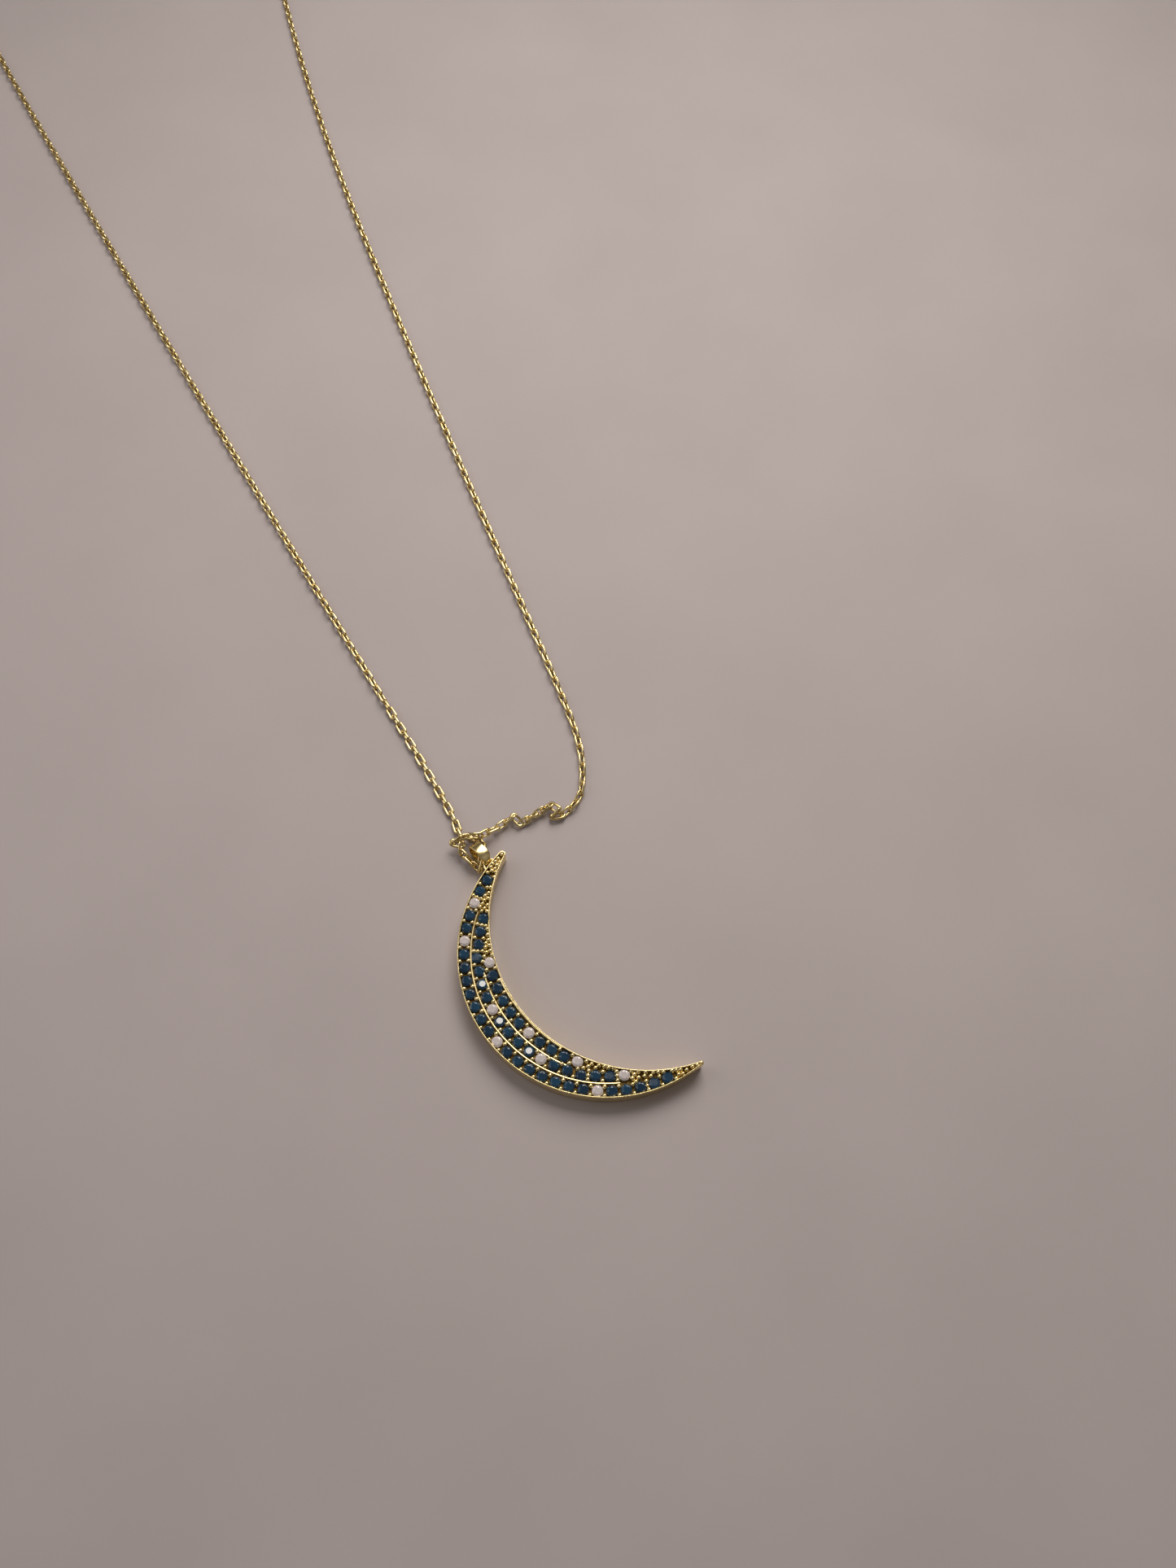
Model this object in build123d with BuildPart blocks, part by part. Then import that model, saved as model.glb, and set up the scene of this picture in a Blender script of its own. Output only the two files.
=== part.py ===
"""Crescent moon pendant on a fine cable chain, lying face up as a closed loop.

A polished cast crescent carries three rows of small round stones, held by raised grains
between a fine rim. A half ring on its upper horn holds a wide oval bail, and the chain
runs through the bail, crosses itself above it and closes at a clasp.

All lengths are in millimetres. Z is up, the back of the crescent lies on z = 0, and the
origin is in the middle of the whole loop. The pendant is at the -Y end, the clasp at +Y.
"""
from build123d import *
from math import atan, atan2, cos, degrees, hypot, pi, radians, sin, sqrt
import os

# Stones: round, all of one size
stone_diameter = 1.12
stone_sides = 8
table_share = 0.58
culet_share = 0.05
crown_height = 0.17
girdle_height = 0.06
pavilion_depth = 0.46
seat_clearance = 0.02
seat_margin = 0.02

# Crescent
centre_x, centre_y = -1.0, -101.0
belly_direction = 197.0
outer_radius = 14.92
thickness = 2.0
rim_width = 0.09
rim_height = 0.22
rim_bite = 0.07
row_pitch = 1.43
inner_row_pitch = 1.40
inner_row_shift = 2.0
nudge = 0.15
inner_margin = 0.40
opening_shift = 5.40
tip_angle = 85.5
flare_angle = 60.0
flare_growth = 2.9
wall_width = 0.12
wall_drop = 0.05
wall_half_angle = 54.0

# Grains: small round beads that hold the stones and fill the horns
grain_radius = 0.17
grain_sides = 8
grain_top_share = 0.50
grain_shoulder = 0.13
grain_proud = 0.04
grain_root = 0.20
grain_reach = 0.42
grain_pitch = 0.62
grain_gap = 0.03

# Half ring on the upper horn, and the bail that hangs in it
loop_angle = 79.7
loop_inner_radius = 0.53
loop_wire = 0.28
bail_direction = 107.0
bail_length = 2.90
bail_height = 2.40
bail_wall = 0.28
bail_width = 1.12
bail_foot_width = 0.52
bail_taper_share = 0.28
bail_gap = 0.12

# Clasp: one plain closed piece with a loop at its nose and an eye at its tail
clasp_x, clasp_y = 1.5, 113.93
clasp_thickness = 1.5
clasp_body_radius = 2.0
clasp_nose_radius = 1.35
clasp_reach = 3.6
clasp_wall = 0.70
clasp_heel = 1.15
clasp_eye_radius = 0.95
clasp_eye_wall = 0.42
clasp_eye_thickness = 0.70
clasp_neck = 0.80
clasp_edge = 0.25

# Chain: the envelope of its links
chain_diameter = 0.80
chain_clearance = 0.30
bend_share = 0.45

# The chain's way. From the clasp's eye it lies along the left side, x and y; then it makes a
# knot: under itself, up through the bail and back over itself. Last it lies along the right
# side to the clasp's nose. The knot's points are steps from the bail's middle: east and
# north in bail lengths, and the height above the surface in bail heights.
left_side = [
    (-13.3, 110.5), (-21.5, 101.7), (-25.6, 86.8), (-24.1, 60.3), (-18.7, 6.3),
    (-14.1, -36.7), (-11.4, -60.7), (-10.0, -72.7), (-9.5, -78.5),
]
knot = [
    (-0.318, 1.717, 0.167), (-0.422, 1.179, 0.167), (0.040, 0.890, 0.167),
    (0.316, 0.614, 0.208), (0.258, 0.290, 0.396), (0.020, 0.073, 0.500),
    (-0.095, -0.137, 0.500), (-0.244, -0.179, 0.479), (-0.380, -0.102, 0.450),
    (-0.438, 0.100, 0.417), (-0.527, 0.344, 0.388), (-0.619, 0.575, 0.388),
    (-0.762, 0.842, 0.450), (-0.694, 1.038, 0.521), (-0.549, 1.131, 0.563),
    (-0.391, 1.121, 0.583), (-0.225, 0.990, 0.583), (0.065, 0.807, 0.583),
    (0.465, 0.679, 0.563), (1.016, 0.824, 0.250),
]
right_side = [
    (-2.77, -83.80), (-0.64, -83.94), (1.37, -85.01), (4.82, -82.67), (6.8, -78.3),
    (7.5, -70.2), (8.4, -53.7), (10.3, -21.7), (12.9, 14.3), (16.5, 44.3), (21.6, 72.3),
    (25.9, 88.9), (23.3, 102.1), (15.9, 110.6),
]

# Worked out from the sizes above
stone_radius = stone_diameter / 2
seat_radius = stone_radius + seat_clearance
deck_height = thickness - rim_height
girdle_top = thickness - crown_height
girdle_base = girdle_top - girdle_height
culet_height = girdle_base - pavilion_depth
seat_floor = girdle_base - seat_clearance
seat_depth = pavilion_depth + seat_clearance
grain_crown = rim_height - grain_shoulder + grain_proud

# Rows of stones, outer row first. radius: of the row's own arc; shift: how far the arc's
# centre lies from the crescent's centre towards the open side; reach: from the belly to the
# row's last stone, in degrees; chart: the stones from the upper horn to the lower one, b for
# blue and c for clear; nudged: stones a little further out, to make room for the row inside.
outer_row = outer_radius - rim_width - seat_margin - seat_radius
middle_row = outer_row - row_pitch
inner_row = middle_row - inner_row_pitch
rows = [
    dict(radius=outer_row, shift=0.0, reach=73.02, chart="bbcbbcbbbbbbbcbbbbbbbcbbbbb",
         nudged=()),
    dict(radius=middle_row, shift=0.0, reach=56.20, chart="bbbbbbbcbbbbcbbbbbc",
         nudged=(3, 15)),
    dict(radius=inner_row + inner_row_shift, shift=inner_row_shift, reach=29.82,
         chart="cbbbbbcbbbc", nudged=()),
]
inner_edge_radius = inner_row - seat_radius - inner_margin + opening_shift


def place(radius, angle, shift=0.0):
    """Point at a radius and an angle from the belly, about a centre moved to the open side."""
    axis, spoke = radians(belly_direction), radians(belly_direction + angle)
    return (centre_x - shift * cos(axis) + radius * cos(spoke),
            centre_y - shift * sin(axis) + radius * sin(spoke))


def inner_edge(angle):
    """Distance of the inner edge from the crescent's centre, at an angle from the belly."""
    along = opening_shift * cos(radians(angle))
    return sqrt(along**2 + inner_edge_radius**2 - opening_shift**2) - along


def outer_edge(angle):
    """Distance of the outer edge from the centre: a circle, opened out on the upper horn."""
    if angle > -flare_angle:
        return outer_radius
    turn = radians(-flare_angle - angle)
    along = flare_growth * cos(turn)
    reach = outer_radius + flare_growth
    return sqrt(along**2 + reach**2 - flare_growth**2) - along


def row_points(row):
    """Where a row's stones stand, from the upper horn to the lower one."""
    count = len(row["chart"])
    step = 2 * row["reach"] / (count - 1)
    points = []
    for index in range(count):
        radius = row["radius"] + (nudge if index in row["nudged"] else 0.0)
        points.append(place(radius, (index - (count - 1) / 2) * step, row["shift"]))
    return points


def row_grains(row):
    """A pair of grains in each gap between two stones and past each end of a row."""
    count = len(row["chart"])
    step = 2 * row["reach"] / (count - 1)
    points = []
    for index in range(count + 1):
        for side in (-grain_reach, grain_reach):
            angle = (index - count / 2) * step
            points.append(place(row["radius"] + side, angle, row["shift"]))
    return points


def horn_grains():
    """Grains along both edges of the horns, where the stones are too wide to go."""
    points = []
    side_room = rim_width + grain_radius - rim_bite
    for horn in (-1, 1):
        angle = wall_half_angle
        while angle < tip_angle:
            inside = inner_edge(horn * angle) + side_room
            outside = outer_edge(horn * angle) - side_room
            points.append(place(min(inside, outside), horn * angle))
            if outside > inside:
                points.append(place(outside, horn * angle))
            angle += degrees(grain_pitch / outer_radius)
    return points


def beside_rim(point):
    """A grain's point, moved so that a grain that all but touches the rim bites into it."""
    east, north = point[0] - centre_x, point[1] - centre_y
    reach = hypot(east, north)
    angle = (degrees(atan2(north, east)) - belly_direction + 180) % 360 - 180
    side_room = rim_width + grain_radius
    lowest, highest = inner_edge(angle) + side_room, outer_edge(angle) - side_room
    if abs(reach - lowest) < rim_bite:
        reach = lowest - rim_bite
    if abs(reach - highest) < rim_bite:
        reach = highest + rim_bite
    return place(reach, angle)


def far_enough(point, others, distance):
    """True when a point keeps its distance from all the others."""
    return all(hypot(point[0] - x, point[1] - y) >= distance for x, y in others)


def taper_to(share, radius, sides, height):
    """Taper, in degrees, that narrows a polygon to a share of its size over a height."""
    return degrees(atan(radius * cos(pi / sides) * (1 - share) / height))


def facing_centre(x, y):
    """Where a stone or its seat stands, one flat side turned to the crescent's centre."""
    turn = degrees(atan2(y - centre_y, x - centre_x)) + 180 / stone_sides
    return Location((x, y, 0), (0, 0, turn))


stone_points = [point for row in rows for point in row_points(row)]
stone_spots = [facing_centre(x, y) for x, y in stone_points]
stone_kinds = "".join(row["chart"] for row in rows)
grain_points = []
for spot in [beside_rim(point) for row in rows for point in row_grains(row)] + horn_grains():
    clear_of_stones = far_enough(spot, stone_points, seat_radius + grain_radius + grain_gap)
    if clear_of_stones and far_enough(spot, grain_points, 2 * grain_radius + grain_gap):
        grain_points.append(spot)

os.makedirs("parts", exist_ok=True)

# Outline of the crescent: belly arc, upper horn opened out, rounded tips, inner arc
tip_middle = [(inner_edge(a) + outer_edge(a)) / 2 for a in (-tip_angle, tip_angle)]
tip_half = [(outer_edge(a) - inner_edge(a)) / 2 for a in (-tip_angle, tip_angle)]
upper_out, upper_in = [place(edge(-tip_angle), -tip_angle) for edge in (outer_edge, inner_edge)]
lower_out, lower_in = [place(edge(tip_angle), tip_angle) for edge in (outer_edge, inner_edge)]
upper_tip = place(tip_middle[0], -tip_angle - degrees(tip_half[0] / outer_radius))
lower_tip = place(tip_middle[1], tip_angle + degrees(tip_half[1] / outer_radius))
flare_start = place(outer_radius, -flare_angle)
flare_middle_angle = -(flare_angle + tip_angle) / 2

with BuildSketch() as outline:
    with BuildLine():
        ThreePointArc(lower_out, place(outer_radius, 0), flare_start)
        ThreePointArc(flare_start, place(outer_edge(flare_middle_angle), flare_middle_angle), upper_out)
        ThreePointArc(upper_out, upper_tip, upper_in)
        ThreePointArc(upper_in, place(inner_edge(0), 0), lower_in)
        ThreePointArc(lower_in, lower_tip, lower_out)
    make_face()


def hanging_point(radius, depth):
    """A faceted point that hangs under z = 0, as a stone's pavilion does."""
    with BuildPart() as point:
        with BuildSketch():
            RegularPolygon(radius, stone_sides)
        extrude(amount=depth, taper=taper_to(culet_share, radius, stone_sides, depth))
        mirror(about=Plane.XY, mode=Mode.REPLACE)
    return point.part


# A seat: a bore for a stone's girdle and a point under it for the pavilion
with BuildPart() as seat:
    with BuildSketch(Plane.XY.offset(seat_floor)):
        RegularPolygon(seat_radius, stone_sides)
    extrude(amount=thickness)
    with Locations((0, 0, seat_floor)):
        add(hanging_point(seat_radius, seat_depth))

# A grain: a bead that is rooted in the deck and stands a little proud of the rim
with BuildPart() as grain:
    with BuildSketch(Plane.XY.offset(deck_height - grain_root)):
        RegularPolygon(grain_radius, grain_sides)
    extrude(amount=grain_root + grain_shoulder)
    extrude(grain.faces().sort_by(Axis.Z)[-1], amount=grain_crown,
            taper=taper_to(grain_top_share, grain_radius, grain_sides, grain_crown))

# One wall between the outer and the middle row, an arc seen from above
wall_radius = outer_row - row_pitch / 2
wall_tops = Plane.XY.offset(deck_height)

with BuildPart() as crescent:
    with BuildSketch():
        add(outline.sketch)
    extrude(amount=deck_height)
    with BuildSketch(wall_tops):
        add(outline.sketch)
        offset(outline.sketch, amount=-rim_width, mode=Mode.SUBTRACT)
    extrude(amount=rim_height)
    with BuildSketch(wall_tops):
        with BuildLine():
            near, far = wall_radius - wall_width / 2, wall_radius + wall_width / 2
            ends = [-wall_half_angle, wall_half_angle]
            inner_arc = ThreePointArc(place(near, ends[0]), place(near, 0), place(near, ends[1]))
            outer_arc = ThreePointArc(place(far, ends[0]), place(far, 0), place(far, ends[1]))
            Line(inner_arc @ 0, outer_arc @ 0)
            Line(inner_arc @ 1, outer_arc @ 1)
        make_face()
    extrude(amount=rim_height - wall_drop)
    with Locations(*stone_spots):
        add(seat.part, mode=Mode.SUBTRACT)
    with Locations(*grain_points):
        add(grain.part)
    # Half ring on the outer edge of the upper horn, level, at the bail's middle height
    loop_middle = place(outer_edge(-loop_angle), -loop_angle)
    with Locations((*loop_middle, bail_height / 2)):
        Torus(loop_inner_radius + loop_wire / 2, loop_wire / 2)
crescent.part.label = "crescent"
export_step(crescent.part, "parts/crescent.step")

# One cut stone: a table, crown facets, a thin girdle and a pavilion down to the culet
with BuildPart() as stone:
    with BuildSketch(Plane.XY.offset(girdle_base)):
        RegularPolygon(stone_radius, stone_sides)
    extrude(amount=girdle_height)
    extrude(stone.faces().sort_by(Axis.Z)[-1], amount=crown_height,
            taper=taper_to(table_share, stone_radius, stone_sides, crown_height))
    with Locations((0, 0, girdle_base)):
        add(hanging_point(stone_radius, pavilion_depth))


def set_stones(kind):
    """All the stones of one kind, in their seats."""
    with BuildPart() as stones:
        with Locations(*[spot for spot, own in zip(stone_spots, stone_kinds) if own == kind]):
            add(stone.part)
    return stones


blue_stones = set_stones("b")
blue_stones.part.label = "blue_stones"
export_step(blue_stones.part, "parts/blue_stones.step")

clear_stones = set_stones("c")
clear_stones.part.label = "clear_stones"
export_step(clear_stones.part, "parts/clear_stones.step")

# Bail: an oval band that narrows to its foot, where it hangs in the half ring
along = (cos(radians(bail_direction)), sin(radians(bail_direction)))
across = (along[1], -along[0])
bail_reach = bail_gap + bail_length / 2
bail_centre = (loop_middle[0] + along[0] * bail_reach, loop_middle[1] + along[1] * bail_reach)
bail_side = Plane(origin=(*bail_centre, bail_height / 2), x_dir=(*along, 0), z_dir=(*across, 0))
bail_plan = Plane(origin=(*bail_centre, 0), x_dir=(*along, 0), z_dir=(0, 0, 1))
bail_half = bail_length / 2
full_width_at = bail_length * bail_taper_share - bail_half

with BuildPart() as bail:
    with BuildSketch(bail_side):
        Ellipse(bail_half, bail_height / 2)
        Ellipse(bail_half - bail_wall, bail_height / 2 - bail_wall, mode=Mode.SUBTRACT)
    extrude(amount=bail_width / 2, both=True)
    with BuildSketch(bail_plan):
        with BuildLine():
            Polyline((-bail_half, -bail_foot_width / 2), (-bail_half + bail_wall, -bail_foot_width / 2),
                     (full_width_at, -bail_width / 2), (bail_half, -bail_width / 2),
                     (bail_half, bail_width / 2), (full_width_at, bail_width / 2),
                     (-bail_half + bail_wall, bail_foot_width / 2), (-bail_half, bail_foot_width / 2),
                     close=True)
        make_face()
    extrude(amount=bail_height, mode=Mode.INTERSECT)
bail.part.label = "bail"
export_step(bail.part, "parts/bail.step")

# Clasp, lying flat: a pear-shaped loop with a round eye at its tail
nose_x = clasp_x + clasp_reach
heel_x = clasp_x - clasp_body_radius
eye_x = heel_x - clasp_heel + clasp_eye_wall
with BuildPart() as clasp:
    with BuildSketch():
        with Locations((clasp_x, clasp_y)):
            Circle(clasp_body_radius)
        with Locations((nose_x, clasp_y)):
            Circle(clasp_nose_radius)
        make_hull()
    extrude(amount=clasp_thickness)
    chamfer(clasp.faces().filter_by(Axis.Z).edges(), clasp_edge)
    with BuildSketch():
        with Locations((clasp_x + clasp_wall / 2, clasp_y)):
            Circle(clasp_nose_radius - clasp_wall + clasp_edge)
        with Locations((nose_x, clasp_y)):
            Circle(clasp_nose_radius - clasp_wall)
        make_hull()
    extrude(amount=clasp_thickness, mode=Mode.SUBTRACT)
    with BuildSketch(Plane.XY.offset((clasp_thickness - clasp_eye_thickness) / 2)):
        with Locations((eye_x, clasp_y)):
            Circle(clasp_eye_radius)
        with Locations(((eye_x + heel_x) / 2 + clasp_wall / 2, clasp_y)):
            Rectangle(clasp_heel, clasp_neck)
        with Locations((eye_x, clasp_y)):
            Circle(clasp_eye_radius - clasp_eye_wall, mode=Mode.SUBTRACT)
    extrude(amount=clasp_eye_thickness)
clasp.part.label = "clasp"
export_step(clasp.part, "parts/clasp.step")

# Chain: straight runs joined by arcs as large as the runs beside them allow
lying = chain_diameter / 2
tail_end = (eye_x - clasp_eye_radius - chain_clearance, clasp_y)
nose_end = (nose_x + clasp_nose_radius + chain_clearance, clasp_y)
way = [Vector(x, y, lying) for x, y in [tail_end, *left_side]]
way += [Vector(bail_centre[0] + east * bail_length, bail_centre[1] + north * bail_length,
               height * bail_height) for east, north, height in knot]
way += [Vector(x, y, lying) for x, y in [*right_side, nose_end]]
radii = []
for before, corner, after in zip(way, way[1:], way[2:]):
    shorter = min((corner - before).length, (after - corner).length)
    turn = radians((corner - before).get_angle(after - corner))
    radii.append(bend_share * shorter / sin(turn / 2) * cos(turn / 2))

with BuildPart() as chain:
    with BuildLine() as middle_line:
        FilletPolyline(*way, radius=radii)
    with BuildSketch(middle_line.line ^ 0):
        Circle(chain_diameter / 2)
    sweep()
chain.part.label = "chain"
export_step(chain.part, "parts/chain.step")

length = sum(edge.length for edge in middle_line.edges())
section = pi * chain_diameter**2 / 4
print("chain length", round(length, 1), "volume over section x length",
      round(chain.part.volume / (section * length), 4))
print("arc radii", [round(radius, 2) for radius in radii])
print("stones", len(stone_points), "grains", len(grain_points))
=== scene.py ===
# %% [markdown]
# # A crescent moon pendant on its chain
#
# The real object is a cast crescent, gold plated and polished, paved with three rows of
# small round stones. A half ring on its upper horn holds an oval bail, and a fine cable
# chain runs through the bail. It lies on a pale table top, seen from above at a slant.
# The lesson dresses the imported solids: each piece is modelled at its real size, in metres,
# where the frame says it lies.

# %% Load the frame
import math
import random

import bmesh
import bpy
from mathutils import Matrix, Vector


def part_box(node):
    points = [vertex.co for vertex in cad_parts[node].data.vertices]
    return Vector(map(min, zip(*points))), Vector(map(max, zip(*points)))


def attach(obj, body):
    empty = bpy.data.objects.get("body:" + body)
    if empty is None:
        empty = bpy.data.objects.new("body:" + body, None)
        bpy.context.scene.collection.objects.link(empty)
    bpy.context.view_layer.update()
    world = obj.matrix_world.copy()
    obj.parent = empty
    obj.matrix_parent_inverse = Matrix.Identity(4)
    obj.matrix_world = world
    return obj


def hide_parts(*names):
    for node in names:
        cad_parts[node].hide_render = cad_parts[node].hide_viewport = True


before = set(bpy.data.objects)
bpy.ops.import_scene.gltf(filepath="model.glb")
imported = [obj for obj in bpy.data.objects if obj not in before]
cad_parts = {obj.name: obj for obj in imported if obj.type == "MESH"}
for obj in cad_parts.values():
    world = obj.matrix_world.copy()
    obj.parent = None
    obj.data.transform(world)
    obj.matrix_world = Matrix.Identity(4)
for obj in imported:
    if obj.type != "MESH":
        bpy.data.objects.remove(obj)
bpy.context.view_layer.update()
MM = 0.001
print("nodes", sorted(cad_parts))

# %% [markdown]
# ## Camera
#
# The picture is taken by hand from about 12 cm above the table, tilted 25 degrees from
# straight down. Two cues give this: the stones are round, so their outlines tell the tilt,
# and they are all of one size, so their sizes near and far tell the height. A camera is
# placed by three turns: its heading over the table, its tilt and a small roll.

# %% Camera
PICTURE_LONG_SIDE = 1927
FOCAL_PIXELS = 1527
SENSOR = 36.0
camera_foot = Vector((-19.88, -134.87, 0)) * MM
camera_height = 122.3 * MM
heading, tilt, roll = math.radians(-26.0), math.radians(25.36), math.radians(1.35)

bpy.ops.object.camera_add()
camera = bpy.context.object
camera.name = "camera"
camera.data.sensor_width = SENSOR
camera.data.lens = FOCAL_PIXELS / PICTURE_LONG_SIDE * SENSOR
camera.data.clip_start = 5 * MM
camera.data.clip_end = 20
camera.matrix_world = (Matrix.Translation(camera_foot + Vector((0, 0, camera_height)))
                       @ Matrix.Rotation(heading, 4, "Z") @ Matrix.Rotation(tilt, 4, "X")
                       @ Matrix.Rotation(roll, 4, "Z"))
bpy.context.scene.camera = camera
# Where the small lamp stands that makes the glints
small_lamp_place = Vector((104, 86, 392)) * MM
print("lens", round(camera.data.lens, 2), "mm")

# %% [markdown]
# ## Small helpers
#
# Modelling by operators has one trap: an operator acts on all that is selected. These few
# functions keep the selection clean, choose parts of a mesh by place, and close a piece by
# moving its place and turn into its mesh.


# %% Helpers for modelling
def only(piece):
    """Selects one object and makes it active."""
    bpy.ops.object.select_all(action="DESELECT")
    piece.select_set(True)
    bpy.context.view_layer.objects.active = piece


def edit(piece, kind="VERT"):
    """Goes into edit mode on one object with nothing selected."""
    only(piece)
    bpy.ops.object.mode_set(mode="EDIT")
    bpy.ops.mesh.select_mode(type=kind)
    bpy.ops.mesh.select_all(action="DESELECT")


def choose(piece, test, kind="VERT"):
    """In edit mode, selects the vertices, edges or faces that pass a test."""
    bpy.ops.mesh.select_all(action="DESELECT")
    mesh = bmesh.from_edit_mesh(piece.data)
    parts = {"VERT": mesh.verts, "EDGE": mesh.edges, "FACE": mesh.faces}[kind]
    chosen = [part for part in parts if test(part)]
    for part in chosen:
        part.select_set(True)
    bmesh.update_edit_mesh(piece.data)
    return len(chosen)


def done():
    """Back to object mode."""
    bpy.ops.object.mode_set(mode="OBJECT")


def settle(piece):
    """Moves an object's place, turn and scale into its mesh."""
    only(piece)
    bpy.ops.object.transform_apply(location=True, rotation=True, scale=True)


def modify(piece, kind, **settings):
    """Adds a modifier and applies it."""
    only(piece)
    modifier = piece.modifiers.new(kind.title(), kind)
    for name, value in settings.items():
        setattr(modifier, name, value)
    bpy.ops.object.modifier_apply(modifier=modifier.name)


def copy_at(pattern, matrix, name):
    """A copy with its own mesh, turned and moved by a matrix that goes into the mesh."""
    piece = bpy.data.objects.new(name, pattern.data.copy())
    piece.data.transform(matrix)
    bpy.context.scene.collection.objects.link(piece)
    return piece


def join(name, pieces):
    """One object out of many."""
    bpy.ops.object.select_all(action="DESELECT")
    for piece in pieces:
        piece.select_set(True)
    bpy.context.view_layer.objects.active = pieces[0]
    bpy.ops.object.join()
    pieces[0].name = name
    pieces[0].data.name = name
    return pieces[0]


def smooth(piece, degrees):
    """Smooth shading across edges that are blunter than an angle."""
    only(piece)
    bpy.ops.object.shade_smooth_by_angle(angle=math.radians(degrees))


def triangles(piece):
    """How many triangles a finished piece has."""
    return sum(len(face.vertices) - 2 for face in piece.data.polygons)


print("helpers ready")

# %% [markdown]
# ## The chain's way
#
# A fine cable chain hardly resists bending, so it lies in soft curves on both sides. At the
# bail it makes a knot: the left side runs under the right one, up through the bail and back
# over itself. In the knot and in two small kinks beside it the links have caught, and the
# chain turns sharply from link to link. There the joints are listed one by one, each written
# with the angle by which the link after it is tipped. A NURBS curve of order 3 rounds the
# corners of the sides and passes exactly through a point that is given twice. Both ends of
# the way lie in the clasp's two small rings.

# %% The chain's way
left_side = [
    (-0.00254, 0.11393, 0.00052), (-0.0133, 0.1105, 0.0004), (-0.0215, 0.1017, 0.0004),
    (-0.0256, 0.0868, 0.0004), (-0.0241, 0.0603, 0.0004), (-0.0187, 0.0063, 0.0004),
    (-0.0141, -0.0367, 0.0004), (-0.0114, -0.0607, 0.0004), (-0.0100, -0.0727, 0.0004),
    (-0.0095, -0.0785, 0.0004), (-0.00932, -0.08098, 0.0004),
]
# Joints in the knot: x, y, z in metres, and how far the next link is tipped, in degrees. None
# leaves the links after the joint to lie as they usually do.
knot = [
    (-0.00947, -0.08226, 0.00042, 80), (-0.00945, -0.08315, 0.00042, -40),
    (-0.00859, -0.08327, 0.00042, 45), (-0.00791, -0.08404, 0.00048, -40),
    (-0.00769, -0.08499, 0.00078, 50), (-0.00814, -0.08589, 0.00105, -45),
    (-0.00865, -0.08671, 0.00102, 70), (-0.00914, -0.08732, 0.00080, -60),
    (-0.00948, -0.08660, 0.00080, 50), (-0.00980, -0.08570, 0.00085, -55),
    (-0.01015, -0.08480, 0.00090, 65), (-0.00983, -0.08407, 0.00102, -10),
    (-0.01047, -0.08360, 0.00112, 85), (-0.00953, -0.08346, 0.00138, -20),
    (-0.00856, -0.08379, 0.00142, 65), (-0.00763, -0.08410, 0.00136, None),
]
between = [(-0.00557, -0.08376, 0.0007), (-0.0045, -0.08343, 0.0005)]
kinks = [
    (-0.00345, -0.08322, 0.00070, -5), (-0.00310, -0.08425, 0.00045, None),
    (0.00070, -0.08366, 0.00070, 20), (0.00117, -0.08465, 0.00095, 85),
    (0.00035, -0.08495, 0.00045, -15), (0.00142, -0.08515, 0.00040, None),
]
right_side = [
    (0.00338, -0.08450, 0.0004), (0.00482, -0.08310, 0.0004),
    (0.0068, -0.0783, 0.0004), (0.0075, -0.0702, 0.0004), (0.0084, -0.0537, 0.0004),
    (0.0103, -0.0217, 0.0004), (0.0129, 0.0143, 0.0004), (0.0165, 0.0443, 0.0004),
    (0.0216, 0.0723, 0.0004), (0.0259, 0.0889, 0.0004), (0.0233, 0.1021, 0.0004),
    (0.0159, 0.1106, 0.0004), (0.00681, 0.11393, 0.00052),
]
pinned = knot + kinks
chain_way = list(left_side)
for x, y, z, _ in knot:
    chain_way += [(x, y, z), (x, y, z)]
chain_way += between
for x, y, z, _ in kinks:
    chain_way += [(x, y, z), (x, y, z)]
chain_way += right_side

way_curve = bpy.data.curves.new("chain_way", "CURVE")
way_curve.dimensions = "3D"
way_curve.resolution_u = 48
spline = way_curve.splines.new("NURBS")
spline.points.add(len(chain_way) - 1)
for point, spot in zip(spline.points, chain_way):
    point.co = (*spot, 1)
spline.order_u = 3
spline.use_endpoint_u = True
way_object = bpy.data.objects.new("chain_way", way_curve)
bpy.context.scene.collection.objects.link(way_object)
bpy.context.view_layer.update()
way_mesh = bpy.data.meshes.new_from_object(way_object)
way = [vertex.co.copy() for vertex in way_mesh.vertices]
bpy.data.objects.remove(way_object)
way_length = sum((b - a).length for a, b in zip(way, way[1:]))
print("way", len(way), "points", round(way_length / MM, 1), "mm")

# %% [markdown]
# ## One link, then the chain
#
# The real link is a drawn wire, bent into an oval and soldered shut. Each link holds the
# next at a right angle, so that the chain lies with its links tipped half way to each side.
# A torus is a good start: it is pulled apart along one direction to get the straight sides.
# The joints between links are marked off along the way with a pair of dividers, so to
# speak: each is one pitch from the last in a straight line, as the rigid links are. Between
# two joints that are placed by hand the links share the way, a little closer together.

# %% Link sizes
wire = 0.29 * MM
link_width = 0.96 * MM
link_pitch = 1.135 * MM
link_play = 0.10 * MM
link_length = link_pitch + 2 * wire + link_play
link_sides = 16
wire_sides = 6
oval = 1.05

# %% One link
bpy.ops.object.select_all(action="DESELECT")
bpy.ops.mesh.primitive_torus_add(major_segments=link_sides, minor_segments=wire_sides,
                                 major_radius=(link_width - wire) / 2, minor_radius=wire / 2)
link = bpy.context.object
link.name = "link"
stretch = (link_length - oval * link_width) / 2
edit(link)
bpy.ops.mesh.select_all(action="SELECT")
bpy.ops.transform.resize(value=(oval, 1, 1))
for side in (-1, 1):
    choose(link, lambda vertex: vertex.co.x * side > 0)
    bpy.ops.transform.translate(value=(side * stretch, 0, 0))
done()
print("link", [round(size / MM, 2) for size in link.dimensions])


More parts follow.
